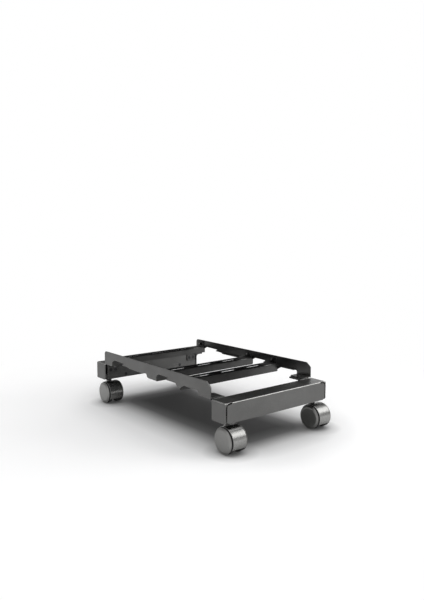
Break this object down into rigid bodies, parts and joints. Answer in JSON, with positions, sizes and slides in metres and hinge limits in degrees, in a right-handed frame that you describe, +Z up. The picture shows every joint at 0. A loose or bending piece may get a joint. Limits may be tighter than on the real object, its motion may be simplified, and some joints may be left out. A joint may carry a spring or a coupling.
{
  "type": "rolling computer tower stand",
  "caption": "Low wheeled stand that carries a desktop computer tower between two side rails, on folded crossbars with hooded twin-wheel swivel casters.",
  "frame": {"origin": "centre of the overall footprint, on the floor under the casters", "axes": "+Z up; the front of the stand faces -Y; +X is to the right of someone facing the same way as +Y, looking from the front to the back"},
  "size_m": [0.3, 0.5426, 0.139],
  "materials": {
    "frame_coat": "satin graphite powder coat",
    "inner_coat": "satin graphite powder coat",
    "hood_metal": "satin nickel, brushed round the axle",
    "cap_metal": "satin gunmetal",
    "black_steel": "black oxide with a film of oil",
    "zinc_steel": "zinc plated",
    "tyre": "matt",
    "nylon": "moulded nylon"
  },
  "bodies": {
    "frame": {"front_crossbar": "frame_coat", "rear_crossbar": "frame_coat", "left_rail": "frame_coat", "right_rail": "frame_coat", "front_cross_member": "inner_coat", "middle_cross_member": "inner_coat", "rear_cross_member": "inner_coat", "front_corner_brackets": "inner_coat", "rear_corner_brackets": "inner_coat", "front_caster_tray": "inner_coat", "rear_caster_tray": "inner_coat", "m5_screws": "black_steel", "m5_nuts": "black_steel", "tray_rivets": "black_steel", "stem_nuts": "zinc_steel", "stem_clips": "zinc_steel", "thrust_washers": "nylon", "caster_front_left_stem": "black_steel", "caster_front_right_stem": "black_steel", "caster_rear_left_stem": "black_steel", "caster_rear_right_stem": "black_steel"},
    "caster_front_left": {"caster_front_left_housing": "hood_metal", "caster_front_left_axle": "zinc_steel", "caster_front_left_axle_retainers": "zinc_steel"},
    "caster_front_left_left_wheel": {"caster_front_left_left_wheel_core": "nylon", "caster_front_left_left_wheel_tyre": "tyre", "caster_front_left_left_wheel_cap": "cap_metal"},
    "caster_front_left_right_wheel": {"caster_front_left_right_wheel_core": "nylon", "caster_front_left_right_wheel_tyre": "tyre", "caster_front_left_right_wheel_cap": "cap_metal"},
    "caster_front_right": {"caster_front_right_housing": "hood_metal", "caster_front_right_axle": "zinc_steel", "caster_front_right_axle_retainers": "zinc_steel"},
    "caster_front_right_left_wheel": {"caster_front_right_left_wheel_core": "nylon", "caster_front_right_left_wheel_tyre": "tyre", "caster_front_right_left_wheel_cap": "cap_metal"},
    "caster_front_right_right_wheel": {"caster_front_right_right_wheel_core": "nylon", "caster_front_right_right_wheel_tyre": "tyre", "caster_front_right_right_wheel_cap": "cap_metal"},
    "caster_rear_left": {"caster_rear_left_housing": "hood_metal", "caster_rear_left_axle": "zinc_steel", "caster_rear_left_axle_retainers": "zinc_steel"},
    "caster_rear_left_left_wheel": {"caster_rear_left_left_wheel_core": "nylon", "caster_rear_left_left_wheel_tyre": "tyre", "caster_rear_left_left_wheel_cap": "cap_metal"},
    "caster_rear_left_right_wheel": {"caster_rear_left_right_wheel_core": "nylon", "caster_rear_left_right_wheel_tyre": "tyre", "caster_rear_left_right_wheel_cap": "cap_metal"},
    "caster_rear_right": {"caster_rear_right_housing": "hood_metal", "caster_rear_right_axle": "zinc_steel", "caster_rear_right_axle_retainers": "zinc_steel"},
    "caster_rear_right_left_wheel": {"caster_rear_right_left_wheel_core": "nylon", "caster_rear_right_left_wheel_tyre": "tyre", "caster_rear_right_left_wheel_cap": "cap_metal"},
    "caster_rear_right_right_wheel": {"caster_rear_right_right_wheel_core": "nylon", "caster_rear_right_right_wheel_tyre": "tyre", "caster_rear_right_right_wheel_cap": "cap_metal"}
  },
  "joints": [
    {"name": "front_left_swivel", "type": "hinge", "parent": "frame", "child": "caster_front_left", "pos_m": [-0.1268, -0.2307, 0.036], "axis": [0, 0, 1], "continuous": true},
    {"name": "front_left_left_wheel_spin", "type": "hinge", "parent": "caster_front_left", "child": "caster_front_left_left_wheel", "pos_m": [-0.1398, -0.2427, 0.027], "axis": [1, 0, 0], "continuous": true},
    {"name": "front_left_right_wheel_spin", "type": "hinge", "parent": "caster_front_left", "child": "caster_front_left_right_wheel", "pos_m": [-0.1138, -0.2427, 0.027], "axis": [1, 0, 0], "continuous": true},
    {"name": "front_right_swivel", "type": "hinge", "parent": "frame", "child": "caster_front_right", "pos_m": [0.1268, -0.2307, 0.036], "axis": [0, 0, 1], "continuous": true},
    {"name": "front_right_left_wheel_spin", "type": "hinge", "parent": "caster_front_right", "child": "caster_front_right_left_wheel", "pos_m": [0.1138, -0.2427, 0.027], "axis": [1, 0, 0], "continuous": true},
    {"name": "front_right_right_wheel_spin", "type": "hinge", "parent": "caster_front_right", "child": "caster_front_right_right_wheel", "pos_m": [0.1398, -0.2427, 0.027], "axis": [1, 0, 0], "continuous": true},
    {"name": "rear_left_swivel", "type": "hinge", "parent": "frame", "child": "caster_rear_left", "pos_m": [-0.1268, 0.2493, 0.036], "axis": [0, 0, 1], "continuous": true},
    {"name": "rear_left_left_wheel_spin", "type": "hinge", "parent": "caster_rear_left", "child": "caster_rear_left_left_wheel", "pos_m": [-0.1398, 0.2373, 0.027], "axis": [1, 0, 0], "continuous": true},
    {"name": "rear_left_right_wheel_spin", "type": "hinge", "parent": "caster_rear_left", "child": "caster_rear_left_right_wheel", "pos_m": [-0.1138, 0.2373, 0.027], "axis": [1, 0, 0], "continuous": true},
    {"name": "rear_right_swivel", "type": "hinge", "parent": "frame", "child": "caster_rear_right", "pos_m": [0.1268, 0.2493, 0.036], "axis": [0, 0, 1], "continuous": true},
    {"name": "rear_right_left_wheel_spin", "type": "hinge", "parent": "caster_rear_right", "child": "caster_rear_right_left_wheel", "pos_m": [0.1138, 0.2373, 0.027], "axis": [1, 0, 0], "continuous": true},
    {"name": "rear_right_right_wheel_spin", "type": "hinge", "parent": "caster_rear_right", "child": "caster_rear_right_right_wheel", "pos_m": [0.1398, 0.2373, 0.027], "axis": [1, 0, 0], "continuous": true}
  ]
}
